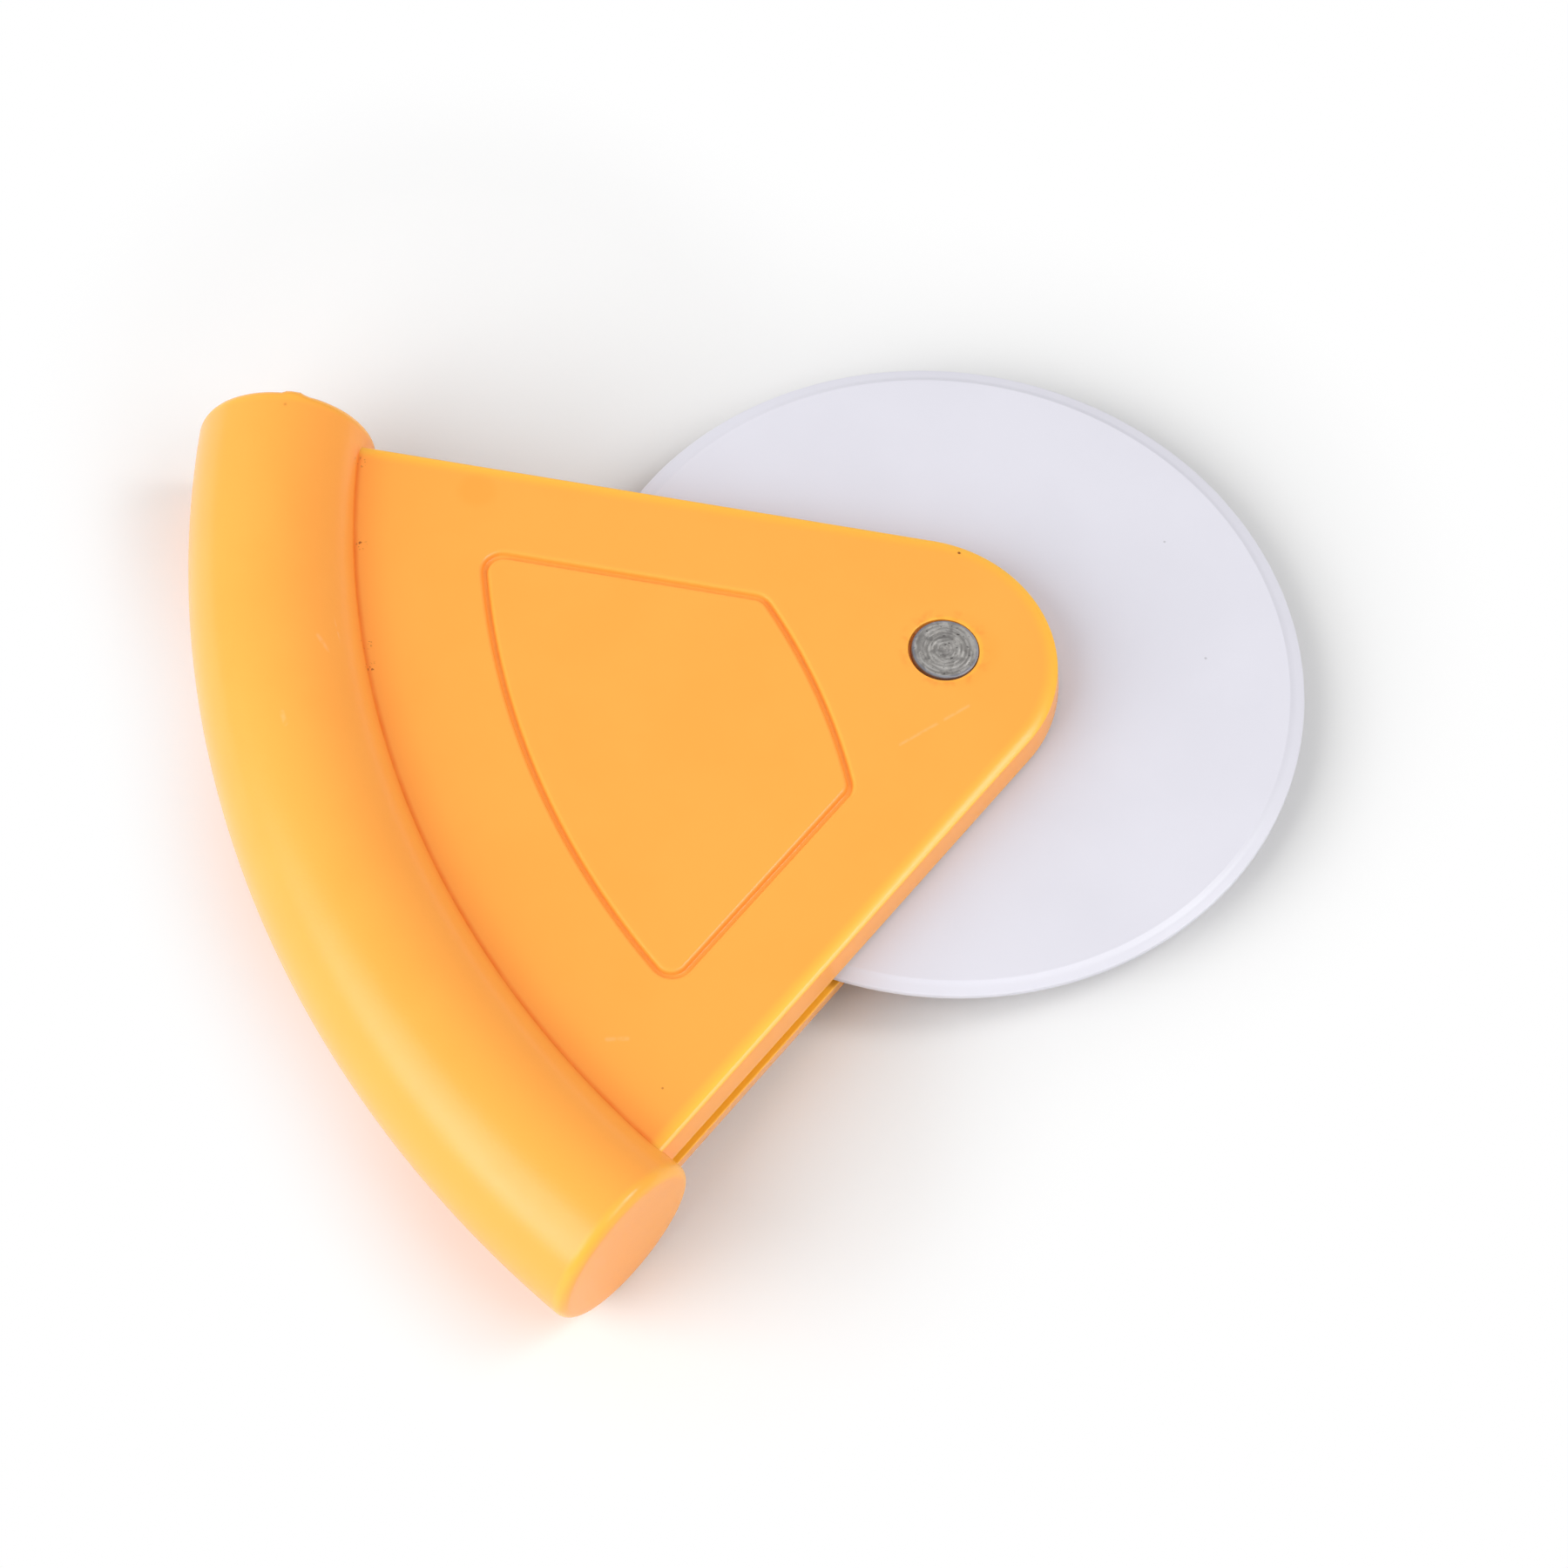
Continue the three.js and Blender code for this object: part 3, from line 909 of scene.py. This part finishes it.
def turned_steel():
    """Grey turned steel: broken tool marks along circles, patches, pits, and a rougher rim with painted
    sheen.
    """
    finish = Finish("rivet_turned")
    plan = finish.plan()
    radius = finish.length(plan)
    around = finish.vector("SCALE", finish.vector("NORMALIZE", plan), scale=TOOL_REACH)
    outwards = finish.vector("SCALE", (0, 0, 1), scale=finish.math("DIVIDE", radius, TOOL_PITCH))
    tool = finish.noise(1, place=finish.vector("ADD", around, outwards))
    shade = finish.mix(finish.band(tool, *TOOL_LIMITS), STEEL, STEEL_BRIGHT)
    for size, detail, limits, strength, tone in STEEL_PATCHES:
        shade = finish.tint(shade, tone, finish.band(finish.noise(size, detail), *limits), strength)
    rim = finish.band(radius, *RIM_BAND)
    # painted sheen: bluish tone on the rounded rim, which is also rougher
    shade = finish.tint(shade, STEEL_RIM_SHEEN, rim, RIM_SHEEN_STRENGTH)
    roughness = finish.math("ADD", finish.span(tool, *STEEL_ROUGHNESS), finish.times(rim, RIM_ROUGHER))
    finish.set(base_color=shade, metallic=1, roughness=roughness)
    finish.bump(tool, TOOL_DEPTH)
    return finish.material


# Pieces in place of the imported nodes

def dress(piece, node, body, finish):
    """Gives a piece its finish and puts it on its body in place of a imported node."""
    piece.data.materials.append(finish)
    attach(piece, body)
    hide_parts(node)


crust_finish = orange_plastic("crust_orange", CRUST_GRAIN)
cheek_finish = orange_plastic("cheek_orange", CHEEK_GRAIN)
steel_finish = turned_steel()
crust = make_crust()
dress(crust, "crust_grip", "handle", crust_finish)
dress(make_cheek("cheek_front", False), "front_cheek", "handle", cheek_finish)
dress(make_cheek("cheek_rear", True), "rear_cheek", "handle", cheek_finish)
dress(make_sleeve(), "rivet_sleeve", "handle", steel_finish)
dress(make_pin(), "rivet_pin", "handle", steel_finish)
dress(make_wheel(), "cutting_wheel", "wheel", white_plastic())


# Studio: the object lies on the ends of its crust and the tip of its rear cheek

FLOOR_HALF = 3000
FLOOR_GAP = 0.02
FLOOR_COLOUR = 0.79
FLOOR_ROUGHNESS = 0.9
CRUST_REST_ANGLE = math.radians(27)
FILL_LEVEL = 0.38

# Circles round the object, as middle and radius; beyond them the floor goes over to plain white
SURROUND = [((8, 4), 38), ((-30, 45), 32), ((-40, 4), 26), ((-37, -31), 26.5)]
SURROUND_BLEND = 30
SURROUND_BORDER = 7.5

# Lamps as azimuth from +X, elevation and roll in degrees, width and height in metres, and radiance
LAMP_DISTANCE = 0.8
SOFTBOX_LEFT = (190, 32, 33.5, 0.6, 0.7, 3.75)
STRIP_LEFT = (174, 16, 0, 0.58, 0.32, 3.7)
SOFTBOX_RIGHT = (316, 54, 0, 0.55, 0.45, 2.35)
GLINT_RIGHT = (346, 55, 0, 0.26, 0.22, 6.0)
STRIP_FRONT = (308, 15, 0, 0.6, 0.3, 1.8)
STRIP_BACK = (90, 15, 0, 0.6, 0.3, 1.4)

# Camera: its aim in mm from the axle, its angles in degrees as for the lamps, its distance in mm
CAMERA_AIM = Vector((-17.107, -5.709, 0))
CAMERA_AZIMUTH = -117.993
CAMERA_ELEVATION = 59.637
CAMERA_ROLL = 7.234
CAMERA_DISTANCE = 465.85
CAMERA_LENS = 123.879
SENSOR_WIDTH = 36
CLIP_START = 0.01
CLIP_END = 10


def seen_rays(finish):
    """1 for camera, glossy and transmission rays, 0 for the others."""
    rays = finish.nodes.new("ShaderNodeLightPath").outputs
    seen = finish.math("MAXIMUM", rays["Is Camera Ray"], rays["Is Glossy Ray"])
    return finish.math("MAXIMUM", seen, rays["Is Transmission Ray"])


def floor_white():
    """Pale matt finish round the object that goes over to plain white further out."""
    finish = Finish("floor_white")
    plan = finish.plan()
    beyond = FLOOR_HALF
    for (x, y), radius in SURROUND:
        from_middle = finish.vector("DISTANCE", plan, (x, y, 0), value=True)
        from_circle = finish.math("SUBTRACT", from_middle, radius)
        beyond = finish.math("SMOOTH_MIN", beyond, from_circle, SURROUND_BLEND)
    outside = finish.band(beyond, -SURROUND_BORDER, SURROUND_BORDER)
    glow = finish.nodes.new("ShaderNodeEmission")
    blend = finish.nodes.new("ShaderNodeMixShader")
    finish.plug(blend.inputs[0], finish.times(outside, seen_rays(finish)))
    finish.plug(blend.inputs[1], finish.shader.outputs[0])
    finish.plug(blend.inputs[2], glow.outputs[0])
    finish.plug(finish.nodes["Material Output"].inputs["Surface"], blend.outputs[0])
    finish.set(base_color=(FLOOR_COLOUR, FLOOR_COLOUR, FLOOR_COLOUR, 1), roughness=FLOOR_ROUGHNESS)
    finish.shader.inputs["Specular IOR Level"].default_value = 0
    return finish.material


def make_floor():
    """Flat floor that the object lies on and that keeps its shadow."""
    crust_rest_x = CRUST_X - GRIP_CENTRE * math.cos(CRUST_REST_ANGLE)
    tip_rest_x = TIP_FROM_AXLE - FACE_INSET
    slope = (GRIP_RADIUS - FACE_HEIGHT) / (tip_rest_x - crust_rest_x)
    shell = Shell()
    corners = []
    for x, y in [(-1, -1), (1, -1), (1, 1), (-1, 1)]:
        height = slope * (x * FLOOR_HALF - tip_rest_x) - FACE_HEIGHT - FLOOR_GAP
        corners.append((x * FLOOR_HALF, y * FLOOR_HALF, height))
    shell.faces.append(shell.loop(corners))
    floor = shell.piece("floor")
    floor.data.materials.append(floor_white())


def make_world():
    """Plain white surround at a low level."""
    world = bpy.data.worlds.new("studio")
    world.use_nodes = True
    bpy.context.scene.world = world
    background = world.node_tree.nodes["Background"]
    background.inputs["Color"].default_value = (1, 1, 1, 1)
    background.inputs["Strength"].default_value = FILL_LEVEL


def direction(azimuth, elevation):
    """Unit vector at an azimuth from +X towards +Y and an elevation, both in degrees."""
    across = math.radians(azimuth)
    up = math.radians(elevation)
    return Vector((math.cos(across) * math.cos(up), math.sin(across) * math.cos(up), math.sin(up)))


def facing(towards, roll):
    """Rotation of a lamp or camera that stands in a direction and looks back, rolled in degrees."""
    turn = towards.to_track_quat("Z", "Y").to_matrix() @ Matrix.Rotation(math.radians(roll), 3, "Z")
    return turn.to_euler()


def make_lamp(name, setting, mirrored=True, only=None):
    """Softbox that faces the object.

    With mirrored off it shows in no gloss. With only it does nothing but show in that piece's gloss.
    """
    azimuth, elevation, roll, width, height, radiance = setting
    light = bpy.data.lights.new(name, "AREA")
    light.shape = "RECTANGLE"
    light.size = width
    light.size_y = height
    light.energy = radiance * math.pi * width * height
    lamp = bpy.data.objects.new(name, light)
    towards = direction(azimuth, elevation)
    lamp.location = towards * LAMP_DISTANCE
    lamp.rotation_euler = facing(towards, roll)
    lamp.visible_glossy = mirrored
    if only:
        lamp.visible_diffuse = False
        receivers = bpy.data.collections.new(name)
        receivers.objects.link(only)
        lamp.light_linking.receiver_collection = receivers
    bpy.context.scene.collection.objects.link(lamp)


def make_camera():
    """Camera at the photograph's view."""
    camera = bpy.data.objects.new("camera", bpy.data.cameras.new("camera"))
    camera.data.sensor_width = SENSOR_WIDTH
    camera.data.lens = CAMERA_LENS
    camera.data.clip_start = CLIP_START
    camera.data.clip_end = CLIP_END
    back = direction(CAMERA_AZIMUTH, CAMERA_ELEVATION)
    camera.location = (CAMERA_AIM + back * CAMERA_DISTANCE) * MM + AXLE
    camera.rotation_euler = facing(back, CAMERA_ROLL)
    bpy.context.scene.collection.objects.link(camera)
    bpy.context.scene.camera = camera


make_floor()
make_world()
make_lamp("softbox_left", SOFTBOX_LEFT, mirrored=False)
make_lamp("strip_left", STRIP_LEFT, mirrored=False)
make_lamp("glint_left", SOFTBOX_LEFT, only=crust)
make_lamp("glint_low", STRIP_LEFT, only=crust)
make_lamp("softbox_right", SOFTBOX_RIGHT)
make_lamp("glint_right", GLINT_RIGHT)
make_lamp("strip_front", STRIP_FRONT, mirrored=False)
make_lamp("strip_back", STRIP_BACK, mirrored=False)
make_camera()
bpy.context.scene.view_settings.view_transform = "Standard"
